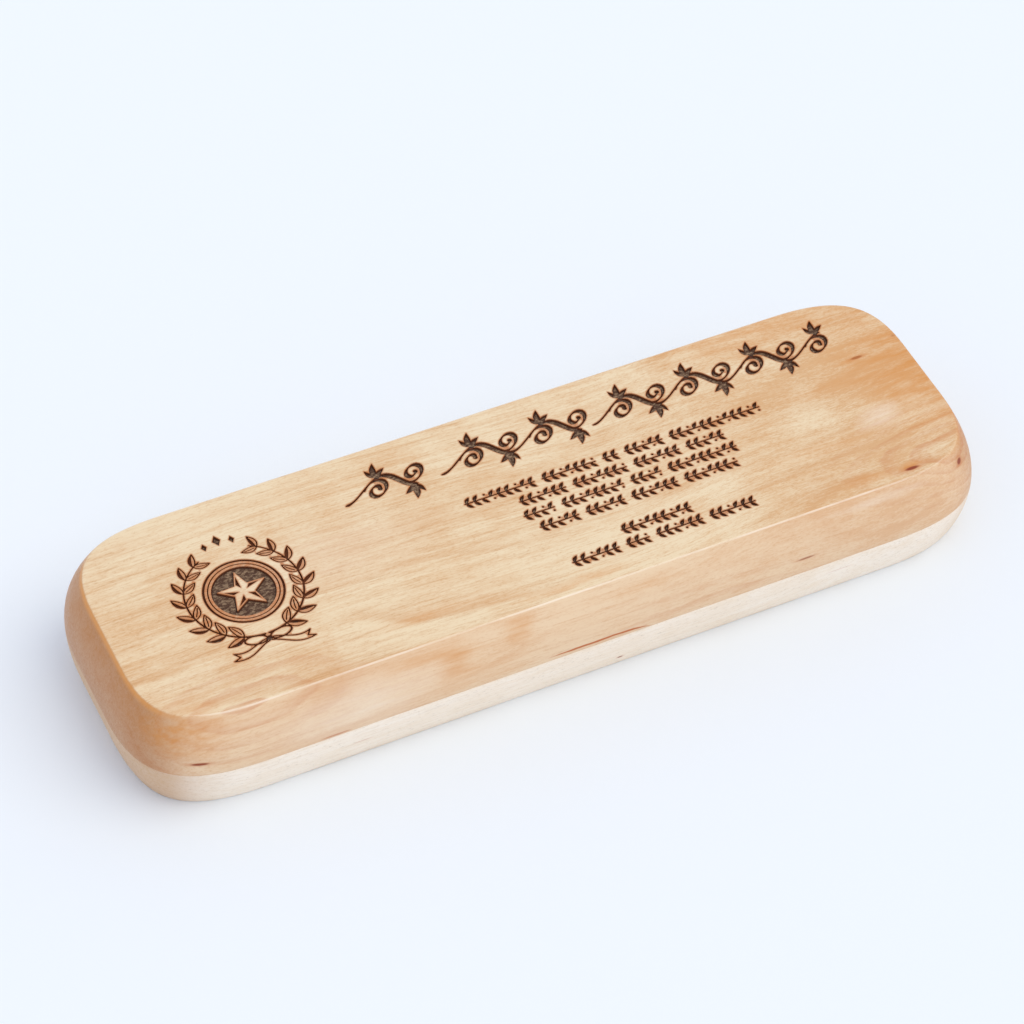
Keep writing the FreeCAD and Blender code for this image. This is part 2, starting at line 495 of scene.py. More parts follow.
class CutField:
    # distance from each sample to the nearest cut edge, negative inside a cut
    def __init__(self):
        pitch = engraving["pitch"]
        halfX, halfY = engraving["half"]
        self.x = np.arange(-halfX, halfX + pitch / 2, pitch)
        self.y = np.arange(-halfY, halfY + pitch / 2, pitch)
        self.values = np.full((len(self.y), len(self.x)), 3.0)

    def near(self, low, high, margin=1.0):
        columns = slice(*np.searchsorted(self.x, (low[0] - margin, high[0] + margin)))
        rows = slice(*np.searchsorted(self.y, (low[1] - margin, high[1] + margin)))
        gridX, gridY = np.meshgrid(self.x[columns], self.y[rows])
        return (rows, columns), gridX, gridY

    def stroke(self, points, widths):
        points = np.array(points, float)
        widths = np.broadcast_to(widths, len(points))
        for a, b, wideA, wideB in zip(points, points[1:], widths, widths[1:]):
            margin = 1.0 + max(wideA, wideB)
            place, gridX, gridY = self.near(np.minimum(a, b), np.maximum(a, b), margin)
            part, away = alongSegment(gridX, gridY, a, b)
            away -= (wideA + (wideB - wideA) * part) / 2
            self.values[place] = np.minimum(self.values[place], away)

    def dot(self, centre, width):
        self.stroke([centre, centre], width)

    def shape(self, points):
        points = np.array(points, float)
        place, gridX, gridY = self.near(points.min(0), points.max(0))
        nearest = np.full(gridX.shape, 9.0)
        inside = np.zeros(gridX.shape, bool)
        for a, b in zip(points, np.roll(points, -1, 0)):
            nearest = np.minimum(nearest, alongSegment(gridX, gridY, a, b)[1])
            crosses = (a[1] > gridY) != (b[1] > gridY)
            rise = b[1] - a[1] if b[1] != a[1] else 1e-12
            inside ^= crosses & (gridX < a[0] + (gridY - a[1]) * (b[0] - a[0]) / rise)
        return place, np.where(inside, -nearest, nearest)

    def cut(self, points):
        place, away = self.shape(points)
        self.values[place] = np.minimum(self.values[place], away)

    def leave(self, points):
        # this shape stays standing in what is cut
        place, away = self.shape(points)
        self.values[place] = np.maximum(self.values[place], -away)


def alongSegment(gridX, gridY, a, b):
    # how far along the segment each sample lies, from 0 to 1, and how far from it
    along = b - a
    part = (gridX - a[0]) * along[0] + (gridY - a[1]) * along[1]
    part = np.clip(part / max(along @ along, 1e-9), 0, 1)
    return part, np.hypot(gridX - a[0] - part * along[0], gridY - a[1] - part * along[1])


def outlinesAt(field, level):
    # closed loops along which the field is at this level
    values = field.values - level
    values = np.where(np.abs(values) < 1e-6, 1e-6, values)
    inside = (values < 0).astype(int)
    kinds = inside[:-1, :-1] + inside[:-1, 1:] * 2 + inside[1:, 1:] * 4 + inside[1:, :-1] * 8
    # for each kind of square, the pairs of its sides that an outline crosses
    crossings = (
        "", "LB", "BR", "LR", "RT", "LTBR", "BT", "LT", "TL", "TB", "LBRT", "TR", "RL", "RB", "BL", "",
    )
    links = {}
    for row, column in np.argwhere((kinds > 0) & (kinds < 15)):
        sides = {
            "B": (row, column, 0), "T": (row + 1, column, 0),
            "L": (row, column, 1), "R": (row, column + 1, 1),
        }
        names = crossings[kinds[row, column]]
        for first, second in zip(names[::2], names[1::2]):
            links.setdefault(sides[first], []).append(sides[second])
            links.setdefault(sides[second], []).append(sides[first])

    def crossing(row, column, upright):
        first = values[row, column]
        second = values[row + upright, column + 1 - upright]
        part = first / (first - second) * engraving["pitch"]
        return field.x[column] + part * (1 - upright), field.y[row] + part * upright

    loops = []
    while links:
        here = next(iter(links))
        loop = []
        while here is not None:
            loop.append(here)
            following = [side for side in links.pop(here) if side in links]
            here = following[0] if following else None
        if len(loop) > 5:
            loops.append(np.array([crossing(*side) for side in loop]))
    return loops


def thinned(loop, tolerance):
    # leaves out the points that lie on a line between others
    far = int(np.argmax(np.hypot(*(loop - loop[0]).T)))
    closed = np.concatenate([loop, loop[:1]])
    kept = {0, far}
    spans = [(0, far), (far, len(loop))]
    while spans:
        first, last = spans.pop()
        if last - first < 2:
            continue
        along = closed[last] - closed[first]
        between = closed[first + 1:last] - closed[first]
        off = np.abs(between[:, 0] * along[1] - between[:, 1] * along[0]) / max(hypot(*along), 1e-9)
        middle = first + 1 + int(np.argmax(off))
        if off.max() > tolerance:
            kept.add(middle)
            spans += [(first, middle), (middle, last)]
    return loop[sorted(kept)]


def turned(points, angle, centre):
    c, s = cos(radians(angle)), sin(radians(angle))
    return [(centre[0] + x * c - y * s, centre[1] + x * s + y * c) for x, y in points]


def leafParts(length, width, bend=0.0):
    # one pointed leaf along +x: its outline, its vein and its upper edge
    t = np.linspace(0, 1, 11)
    middle = bend * np.sin(pi * t) * length
    half = width / 2 * np.sin(pi * t ** 0.85) ** 0.9
    upper = list(zip(t * length, middle + half))
    lower = list(zip(t * length, middle - half))
    return upper + lower[-2:0:-1], list(zip(t * length, middle)), upper


def nibWidths(points, look, taper):
    # a broad pen's stroke: thin one way, thick the other, and pointed at its ends
    step = np.gradient(np.array(points), axis=0)
    slope = np.arctan2(step[:, 1], step[:, 0]) - radians(look["nib"])
    wide = (look["thick"] - look["thin"]) * np.abs(np.sin(slope)) ** 1.3
    t = np.linspace(0, 1, len(points))
    ends = np.clip(np.minimum(t, 1 - t) / taper, 0, 1) ** 0.6
    return look["thin"] + wide * ends


def engraveStar(field, look):
    centre = np.array(look["centre"])
    for radius, wide in look["rings"]:
        field.stroke(circle(centre, radius), wide)
    field.cut(circle(centre, look["disc"])[:-1])
    rays = []
    for number in range(10):
        reach = look["star"][number % 2]
        angle = pi / 2 + number * pi / 5
        rays.append(centre + reach * np.array([cos(angle), sin(angle)]))
    field.leave(rays)
    for number in range(0, 10, 2):
        corners = np.array([centre, rays[number], rays[number + 1]])
        middle = corners.mean(0)
        field.cut(middle + (corners - middle) * look["facet"])


def onWreath(look, side, angle):
    cx, cy = look["centre"]
    return cx + side * look["wreathRadius"] * cos(angle), cy + look["wreathRadius"] * sin(angle)


def engraveWreath(field, look):
    line = look["line"]
    first, last = radians(look["stemFrom"]), radians(90 - look["openAngle"])
    for side in (-1, 1):
        stem = [onWreath(look, side, angle) for angle in np.linspace(first, last, 40)]
        field.stroke(stem, np.linspace(line * 1.4, line, len(stem)))
        for number in range(look["leafPairs"]):
            part = (number + 1.15) / (look["leafPairs"] + 0.6)
            angle = first + (last - first) * part
            root = onWreath(look, side, angle)
            length, width = (size * (1.0 - 0.2 * part) for size in look["leaf"])
            for lean in (-1, 1):
                outline, vein, upper = leafParts(length, width, 0.05 * lean)
                direction = 90 + side * degrees(angle) + lean * look["leafLean"]
                outline = turned(outline, direction, root)
                field.stroke(outline + outline[:1], line * 0.9)
                # one half of each leaf is cut away as shade
                if lean * side < 0:
                    field.cut(turned(upper + vein[::-1], direction, root))
                else:
                    field.stroke(turned(vein[2:-2], direction, root), line * 0.8)


def engraveBow(field, look):
    cx, cy = look["centre"]
    cy -= look["wreathRadius"] + look["bowDrop"]
    line = look["line"]
    wide, tall = look["bowLoop"]
    tail = bezier(look["bowTail"], 12)
    across = np.gradient(tail, axis=0)
    across = np.stack([-across[:, 1], across[:, 0]], 1) / np.hypot(*across.T)[:, None]
    across *= np.linspace(*look["tailHalf"], len(tail))[:, None]
    tip = tail[-1] - (tail[-1] - tail[-2]) * 1.4
    edge = [*(tail + across), tip, *(tail - across)[::-1]]
    for side in (-1, 1):
        loop = circle((side * wide * 1.15, 0), wide, 28, tall / wide)
        field.stroke([(cx + x, cy + y + 0.12 * side * x) for x, y in loop], line * 1.25)
        field.stroke([(cx + side * x, cy + y) for x, y in edge], line)
    field.dot((cx, cy - 0.1), look["knot"])
    for x, y, size in look["lozenges"]:
        x, y = look["centre"][0] + x, look["centre"][1] + y
        field.cut([(x, y + size), (x + size * 0.62, y), (x, y - size), (x - size * 0.62, y)])


def engraveScrollwork(field, look):
    middle, slant = look["middle"], look["slant"]

    def slanted(points):
        return [(x + slant * (y - middle), y) for x, y in points]

    for start, end, count in look["runs"]:
        pitch = (end - start) / count
        t = np.linspace(0, count, 18 * count + 1)
        wave = slanted(zip(start + t * pitch, middle - look["rise"] * np.cos(pi * t)))
        field.stroke(wave, nibWidths(wave, look, 0.03))
        for number in range(1, count + 1):
            up = 1 if number % 2 else -1
            back, down = look["scrollShift"]
            x = start + number * pitch - pitch * back
            turn = np.linspace(0, 1, 36)
            # each scroll leaves the wave at its steep part and curls in under the crest
            angles = radians(look["scrollFrom"]) - 2 * pi * look["scrollTurns"] * turn
            radius = look["scrollRadius"] * (1 - look["scrollClosing"] * turn ** 0.9)
            heights = middle + up * (radius * np.sin(angles) - down)
            scroll = slanted(zip(x + radius * np.cos(angles), heights))
            field.stroke(scroll, nibWidths(scroll, look, 0.12) * 0.86)
            field.dot(scroll[-1], look["ball"])
            root = (x + slant * up * look["rise"], middle + up * (look["rise"] - 0.1))
            for lean, size in look["leaves"]:
                field.cut(turned(leafParts(size, size * 0.36, 0.08)[0], up * 90 - up * lean - 10, root))


def engraveGarland(field, look):
    step, gap = look["step"], look["gap"]
    for height, sprigs in look["rows"]:
        x = look["middle"] - (step * sum(sprigs) + gap * (len(sprigs) - 1)) / 2
        for pairs in sprigs:
            field.stroke([(x + 0.2, height), (x + pairs * step - 0.2, height)], look["line"])
            for number in range(pairs):
                root = (x + (number + 0.25) * step, height)
                for lean in (-1, 1):
                    if (number + (lean > 0)) % 4 == 3:
                        field.dot((root[0] + 0.75, height + lean * 0.8), look["bead"])
                    else:
                        leaf = leafParts(*look["leaf"], 0.06 * lean)[0]
                        field.cut(turned(leaf, lean * look["leafLean"], root))
            x += pairs * step + gap


def engraveLid(mesh, topInset):
    # cuts every motif into the lid's flat top as a real recess
    field = CutField()
    engraveStar(field, emblem)
    engraveWreath(field, emblem)
    engraveBow(field, emblem)
    engraveScrollwork(field, scrollwork)
    engraveGarland(field, garland)

    points, lines, notes = [], [], []
    levels = (
        (-engraving["inner"], engraving["depth"]), (-engraving["wall"], engraving["depth"]),
        (0.0, 0.0), (engraving["scorch"], 0.0),
    )
    loops = [(caseOutline(topInset) / mm, 1.0, 0.0)]
    for level, depth in levels:
        for loop in outlinesAt(field, level):
            loops.append((thinned(loop, engraving["tolerance"]), level, depth))
    for loop, level, depth in loops:
        first = len(points)
        points += [Vector(p) for p in loop.tolist()]
        lines += [(first + i, first + (i + 1) % len(loop)) for i in range(len(loop))]
        notes += [(level, depth)] * len(loop)
    found = geometry.delaunay_2d_cdt(points, lines, [], 1, 1e-5)
    places, triangles, origins = found[0], found[2], found[3]

    made = bmesh.new()
    made.from_mesh(mesh)
    layer = made.verts.layers.float.new("cutDistance")
    for vertex in made.verts:
        vertex[layer] = 1.0
    lidTop = [f for f in made.faces if all(v.co.z > topHeight - 0.001 * mm for v in f.verts)]
    bmesh.ops.delete(made, geom=lidTop, context="FACES_ONLY")
    corners = []
    for place, origin in zip(places, origins):
        if origin:
            level, depth = notes[origin[0]]
        else:
            # where two loops cross, the nearest sample tells which level this is
            column, row = (round((v + h) / engraving["pitch"]) for v, h in zip(place, engraving["half"]))
            level, depth = min(levels, key=lambda pair: abs(pair[0] - field.values[row, column]))
        corner = made.verts.new((place.x * mm, place.y * mm, topHeight - depth * mm))
        corner[layer] = level
        corners.append(corner)
    for triangle in triangles:
        made.faces.new([corners[i] for i in triangle])
    bmesh.ops.remove_doubles(made, verts=made.verts, dist=0.002 * mm)
    loose = [v for v in made.verts if not v.link_faces]
    bmesh.ops.delete(made, geom=loose, context="VERTS")
    bmesh.ops.recalc_face_normals(made, faces=made.faces)
    made.to_mesh(mesh)
    print("engraving has", len(triangles), "triangles")


# maple: colours, figure and the marks that this piece of wood happens to have, with some painted highlight
# and shade among them
darkMark, gumMark, amberMark, paleMark = "#8A3406", "#BC5C18", "#D38A3C", "#F8EAD6"
lidMarks = (
    # middle, half sizes, colour, strength
    ((70.2, -21.6, 22.6), (4.6, 1.4, 2), amberMark, 0.75),
    ((74, 7.5, 22.6), (3.6, 0.9, 2), amberMark, 0.6),
    ((69.1, -22.1, 22.4), (1.9, 0.5, 0.8), darkMark, 0.95),
    ((73.7, 7.6, 22.6), (1.6, 0.4, 0.8), darkMark, 0.85),
    ((83.2, 10, 22.2), (0.9, 0.5, 0.8), darkMark, 0.5),
    ((79.7, -22.1, 19.9), (0.8, 1.2, 0.7), darkMark, 0.9),
    ((-76.9, -26, 13.4), (2.1, 1.6, 0.36), darkMark, 0.9),
    ((-51.3, -27.6, 10.9), (3.6, 2.5, 0.28), gumMark, 0.75),
    ((44.4, -27, 14), (2.3, 2.5, 0.26), darkMark, 0.6),
    ((-27.5, -26, 17), (7, 4, 8), amberMark, 0.52),
    ((-34, -25, 20.2), (10.5, 3, 1.7), amberMark, 0.5),
    ((-14.5, -25.4, 19.6), (4.6, 3, 4.6), amberMark, 0.55),
    ((-78, -22, 19), (13, 9, 7), amberMark, 0.55),
    ((-46, -27, 15), (24, 5, 8), paleMark, 0.42),
    ((59.5, -21, 22.6), (9, 2, 2), amberMark, 0.34),
    ((-29, -17.6, 22.6), (18, 2.2, 2), amberMark, 0.4),
    ((-2, -21.8, 22.6), (15, 1.8, 2), amberMark, 0.36),
    ((12, -24, 20), (11, 4, 2.4), amberMark, 0.22),
    ((66, 3, 22.6), (14, 3.6, 2), amberMark, 0.3),
    ((56, -11, 22.6), (18, 2.8, 2), amberMark, 0.22),
    ((86, 2, 22), (25, 28, 5), amberMark, 0.74),
    ((62, 25, 22), (38, 12, 4), amberMark, 0.5),
    # painted sheen: this pale patch on the right of the top stands for light caught by the figure
    ((70.5, -7.5, 22.6), (6.5, 4.6, 2), paleMark, 0.42),
    ((60, -24.6, 20.6), (14, 3, 1.2), paleMark, 0.45),
    ((-42, 2, 22.6), (34, 12, 3), paleMark, 0.16),
)
lidArches = (
    # where flat-sawn rings come out as nested arches: middle, stretch, spacing, reach, strength
    ((-67, -25, 24.5), (2.6, 1, 1), 3.1, (30, 17, 20), 0.5),
    ((84, -20, 24), (3.6, 1, 1), 2, (42, 18, 19), 0.46),
    ((22, -25.5, 6), (5, 1, 1), 2.6, (46, 9, 15), 0.38),
)
baseMarks = (
    ((6.5, -26.8, 2.9), (0.7, 1.5, 0.28), darkMark, 0.95),
    ((-46, -27, 6), (2.6, 2, 0.2), gumMark, 0.3),
    ((52, -27, 7.4), (4, 2, 0.2), gumMark, 0.22),
)
mapleLid = dict(
    pale="#EBD4AF", warm="#D9AC7B", deep="#C98E55", line="#B5824E",
    side="#EBC09C",  # quarter-sawn sides are pinker
    end="#AA6128",  # end grain soaks up the finish; at the left end it is laid on more strongly as painted shade
    golden="#B9762F", rim="#E39A4A", edgeWearAndHighlight="#F8E6D2",
    ringCentre=(58, -62),  # y and z of the tree's middle, in mm
    ringSpacing=5.2,
    ringStrength=0.34,
    bend=24,
    endFacing=(0.22, 0.92),
    warmFrom=(5, 88),  # the warmer stretch along the case
    fibres=0.3,
    pores=0.32,
    roughness=0.4,
    gloss=0.38,
    gumLine=((1.6, -27.5, 11.62), (12.4, 4, 0.36), 0.9),  # middle, half sizes, strength
    arches=lidArches,
    marks=lidMarks,
    engraved=True,
    seed=3.7,
)
mapleBase = dict(
    pale="#FFF5E6", warm="#F2DDC0", deep="#DFC6A2", line="#9C8F7E",
    side="#F8E6D2", end="#BC8648", golden="#CFA268", rim="#E3B67C", edgeWearAndHighlight="#F8E6D2",
    ringCentre=(-20, 92),
    ringSpacing=6.4,
    ringStrength=0.16,
    bend=16,
    endFacing=(0.05, 0.75),
    warmFrom=(-120, 260),
    fibres=0.22,
    pores=0.55,
    roughness=0.5,
    gloss=0.38,
    marks=baseMarks,
    engraved=False,
    seed=11.3,
)
burn = dict(halo="#B4601C", edge="#64300E", deep="#281005", floor="#4C301F", ash="#967A5E")


def spot(place, middle, halfSize, softness=0.55):
    # 1 in the middle of an ellipsoid, fading to 0 at its edge
    return remap(awayFrom(place, middle, halfSize), 1 - softness, 1, 1, 0)


def raggedPlace(place, drift):
    # the place shifted by noise, so that a spot gets a grown edge
    for scale, along, reach in ((0.9, 0.3, (1.5, 0.7, 0.4)), (0.16, 0.6, (9, 3, 1.2))):
        place = vector("ADD", place, wobble(drift, scale, (along, 1, 1), reach))
    return place


def bowedPlace(place):
    # a straight streak in this place bows down on both sides of x = -3
    axes = addNode("SeparateXYZ", {0: place}).outputs
    away = plus(axes[0], 3)
    height = plus(axes[2], times(away, away, 0.0047))
    return addNode("CombineXYZ", {0: axes[0], 1: axes[1], 2: height}).outputs[0]


def wanderingGrain(drift, along):
    # the fibres run true at the left and wander more towards the right
    wander = wobble(drift, 0.013, (1, 0.9, 0.9), (0, 1, 0.5), 1, 0.4)
    reach = remap(along, -30, 60, 4, 26)
    wander = addNode("VectorMath", {0: wander, 3: reach}, operation="SCALE").outputs[0]
    return vector("ADD", drift, wander)


def ringEdges(distance, spacing, slowness, turn):
    # each ring darkens slowly and ends in a sharp edge
    phase = calc("FRACT", calc("DIVIDE", distance, spacing))
    return times(calc("POWER", phase, slowness), remap(phase, turn, 1, 1, 0))


def archedGrain(ragged, middle, stretch, spacing, reach):
    rings = ringEdges(awayFrom(ragged, middle, stretch), spacing, 2, 0.84)
    return times(rings, spot(ragged, middle, reach, 0.9))


def growthRings(place, drift, look):
    # soft bands where the rings come through the face, bent as the trunk was
    bend = wobble(drift, 0.013, (0.75, 2, 2), (0, look["bend"], look["bend"]), roughness=0.45)
    away = awayFrom(vector("ADD", place, bend), (0, *look["ringCentre"]), (25, 1, 1))
    uneven = times(cloud(drift, 0.07, (0.12, 1, 1), 2), 3.5)
    rings = ringEdges(plus(away, uneven), look["ringSpacing"], 2.4, 0.88)
    return times(rings, remap(cloud(drift, 0.022, (0.5, 1, 1)), 0.38, 0.62, 0.25, 1.5))


def woodMarks(colour, place, ragged, veined, marks):
    for middle, halfSize, tint, strength in marks:
        if tint in (amberMark, paleMark):
            there = times(spot(ragged, middle, halfSize, 0.95), veined)
        else:
            there = spot(place, middle, halfSize, 0.5)
        if tint == darkMark:
            # gum has spread round a dark fleck
            around = spot(place, middle, [size * 2 for size in halfSize], 0.95)
            colour = blend(times(around, strength * 0.6), colour, gumMark)
        colour = blend(times(there, strength), colour, tint)
    return colour


def burntCut(place, colour, rough, height):
    # a cut is charred along its walls, and its floor clears to brown and ash
    away = addNode("Attribute", {}, place.id_data, attribute_name="cutDistance").outputs["Fac"]
    grit = cloud(place, 2.2, (0.6, 1, 1), 4, 0.7)
    scorched = remap(away, 0, engraving["scorch"], 0.85, 0)
    cut = layered(
        blend(remap(grit, 0.42, 0.66), burn["floor"], burn["ash"]),
        (remap(plus(away, times(grit, 0.12)), -0.24, -0.08), burn["deep"]),
        (remap(away, -0.16, -0.04), burn["edge"]),
    )
    inside = remap(away, -0.03, 0, 1, 0)
    halo = times(scorched, remap(grit, 0.25, 0.7, 0.6, 1))
    colour = layered(colour, (halo, burn["halo"]), (inside, cut))
    rough = calc("ADD", rough, times(inside, 0.4), clamp=True)
    return colour, rough, plus(height, times(grit, inside, 2.5))


def mapleMaterial(name, look):
    material, place = newMaterial(name)
    drift = vector("ADD", place, [look["seed"] * step for step in (31, 17, 13)])
    along, across, up = addNode("SeparateXYZ", {0: place}).outputs
    normal = addNode("TexCoord", {}, material.node_tree).outputs["Normal"]
    facing = addNode("SeparateXYZ", {0: normal}).outputs
    facingEnds, facingSides = (calc("ABSOLUTE", axis) for axis in (facing[0], facing[1]))
    endwise = remap(facingEnds, *look["endFacing"])

    # the figure shows on the faces and fades towards the ends and the left of the top
    nearFront = remap(across, -20, -8, 1, 0)
    showing = calc("MAXIMUM", remap(along, -25, 45, 0.22, 1), nearFront)
    ring = times(
        growthRings(place, drift, look), remap(endwise, 0, 0.6, 1, 0.6), remap(along, -86, -60, 2.2, 1),
        showing, look["ringStrength"],
    )
    grain = wanderingGrain(drift, along)
    streak = cloud(grain, 0.85, (0.05, 1, 1), 3, 0.55)
    fibre = cloud(grain, 2.3, (0.05, 1, 1), 5, 0.72)
    speckle = cloud(grain, 3.6, (0.3, 1, 1), 3, 0.75)
    mottle = cloud(grain, 0.26, (0.3, 1, 1), 4, 0.6)
    broad = cloud(drift, 0.017, (0.7, 2, 2))
    curl = cloud(drift, 0.11, (1, 0.35, 0.35), 2)
    calm = remap(along, 0, 70, 1, 0.55)  # the right end is quieter

    # how warm the wood is, from 0 for pale to 1
    fine = plus(remap(streak, 0.3, 0.7, -0.15, 0.22), remap(fibre, 0.34, 0.66, -0.19, 0.22))
    blotches = times(
        remap(mottle, 0.34, 0.66, -0.22, 0.34),
        remap(calm, 0.55, 1, 1, 0.25), remap(endwise, 0.3, 1, 1, 0.35),
    )
    tone = plus(
        remap(broad, 0.36, 0.66, 0.08, 0.46), remap(along, *look["warmFrom"], 0, 0.4),
        times(fine, calm), blotches, remap(curl, 0.35, 0.68, -0.1, 0.16), ring,
    )
    grit = times(remap(speckle, 0.3, 0.7, -0.16, 0.2), remap(along, 0, 70, 1, 1.7))
    tone = calc("ADD", tone, grit, clamp=True)
    colour = layered(
        blend(tone, look["pale"], look["warm"]),
        (ring, look["deep"]),
        (times(remap(fibre, 0.54, 0.7, 0, look["fibres"]), calm), look["line"]),
        (remap(speckle, 0.56, 0.72, 0, look["pores"]), look["line"]),
        (remap(facingSides, 0.45, 0.85, 0, 0.38), look["side"]),
    )

    # end grain is darker and redder; the left end is made darker than the right as painted shade, and the
    # bright orange band along the top edge is painted light glowing through the end grain
    endGrainAndShade = times(endwise, remap(along, -70, 80, 0.66, 0.3))
    golden = times(endwise, remap(up, 13, 21.5, 0, 0.42), remap(mottle, 0.3, 0.7, 0.5, 1.3))
    rim = times(endwise, remap(up, 21.3, 22.3, 0, 0.75), remap(along, -40, 60, 1, 0.4))
    colour = layered(colour, (endGrainAndShade, look["end"]), (golden, look["golden"]), (rim, look["rim"]))

    ragged = raggedPlace(place, drift)
    veined = times(remap(streak, 0.32, 0.68, 0.62, 1.25), remap(mottle, 0.35, 0.65, 0.75, 1.15))
    if "gumLine" in look:
        middle, halfSize, strength = look["gumLine"]
        line = spot(bowedPlace(ragged), middle, halfSize, 0.4)
        colour = blend(times(line, strength), colour, gumMark)
    for *shape, strength in look.get("arches", ()):
        colour = blend(times(archedGrain(ragged, *shape), veined, strength), colour, gumMark)
    colour = woodMarks(colour, place, ragged, veined, look["marks"])

    # the rounded edges of the top are painted a little paler: a painted highlight where they catch the
    # overhead light, with a little wear from handling
    edgeWearAndHighlight = times(
        remap(facing[2], 0.55, 0.75), remap(facing[2], 0.93, 0.995, 1, 0),
        remap(facingEnds, 0.05, 0.22, 1, 0), remap(mottle, 0.38, 0.62, 0.25, 0.6),
    )
    colour = blend(edgeWearAndHighlight, colour, look["edgeWearAndHighlight"])
    rough = remap(fibre, 0.3, 0.75, look["roughness"] - 0.06, look["roughness"] + 0.14)
    height = plus(times(fibre, 0.6), times(speckle, 0.4))
    if look["engraved"]:
        colour, rough, height = burntCut(place, colour, rough, height)
    setShader(material, colour, rough, height, 0.0001, 0.5, {"Specular IOR Level": look["gloss"]})
    return material


lidRise, baseRise = topHeight - seamHeight, seamHeight - baseBottom
lidMesh = woodHalf("lid", 1, lidRise, lidShape, lidRise - lidShape["ceiling"])
baseMesh = woodHalf("base", -1, baseRise, baseShape, baseRise - baseShape["floor"])
print("wooden halves are shaped")
engraveLid(lidMesh, sideProfile(lidRise, lidShape["inset"], lidShape["edgeRound"])[-1][0])
smoothShading(baseMesh)
smoothShading(lidMesh)
baseMaple = mapleMaterial("mapleBase", mapleBase)
lidMaple = mapleMaterial("mapleLid", mapleLid)
makeObject("baseWood", baseMesh, "base", "maple_base", baseMaple, "base_shell")
makeObject("lidWood", lidMesh, "lid", "maple_lid", lidMaple, "lid_shell")
print("lid is engraved and both halves are finished")


# flocked tray and velvet pad
trayLook = dict(
    colour="#101012", tip="#4C4C50", lint="#77777A",
    pile=5,  # tufts to the millimetre
    relief=0.0005,
    sheen=0.5,
    voxel=0.55 * mm,
    soften=7,
)
padLook = dict(
    colour="#1D1C20", tip="#45434A",
    pile=4.2,
    relief=0.00028,
    sheen=0.8,
    thickness=1.2 * mm,  # beside the seams
    edge=0.3 * mm,  # from the side to where the face begins
    dip=0.1 * mm,
    crown=0.62 * mm,
    channels=3,  # sewn lengthwise
    netStep=0.75 * mm,
    piping=0.55 * mm,  # radius of the cord sewn round the edge
    pipingSides=12,
    stitch=2.6 * mm,
    stitchRadius=0.13 * mm,
    stitchMargin=14 * mm,  # of both ends together
)
threadLook = dict(colour="#2A292E", tip="#6B6972", pile=7, relief=0.0005, sheen=0.3)


def napMaterial(name, look):
    material, place = newMaterial(name)
    brushed = cloud(place, 0.05, roughness=0.55)
    tuft = cloud(place, 1.6, detail=2, roughness=0.6)
    pile = cloud(place, look["pile"], roughness=0.7)
    pile = plus(times(pile, 0.5), times(tuft, 0.5))
    patch = cloud(place, 0.6, (1, 0.6, 1), 3, 0.6)
    lit = remap(pile, 0.4, 0.64, 0, 0.75)
    lit = calc("ADD", lit, remap(brushed, 0.4, 0.65, 0, 0.35), clamp=True)
    colour = layered(
        blend(lit, look["colour"], look["tip"]),
        (remap(patch, 0.62, 0.78, 0, 0.25), look["tip"]),
    )
    if "lint" in look:
        fluff = cloud(place, 1.3, detail=1)
        colour = blend(remap(fluff, 0.775, 0.8, 0, 0.5), colour, look["lint"])
    fixed = {"Specular IOR Level": 0.2, "Sheen Weight": look["sheen"], "Sheen Roughness": 0.45}
    height = plus(pile, times(patch, 0.5))
    setShader(material, colour, remap(pile, 0.3, 0.7, 0.85, 1), height, look["relief"], 0.9, fixed)
    return material


def softMesh(made, name):
    bmesh.ops.recalc_face_normals(made, faces=made.faces)
    mesh = meshFrom(made, name)
    mesh.shade_smooth()
    return mesh


def makeTray(look):
    mesh = bakedCopy(
        addObject("trayBlock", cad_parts["base_insert"].data.copy()),
        ("WELD", {"merge_threshold": 1e-6}),
        ("REMESH", {"mode": "VOXEL", "voxel_size": look["voxel"]}),
        ("SMOOTH", {"factor": 0.5, "iterations": look["soften"]}),
    )
    mesh.shade_smooth()
    makeObject("flockedTray", mesh, "base", "flocking", napMaterial("blackFlock", look), "base_insert")


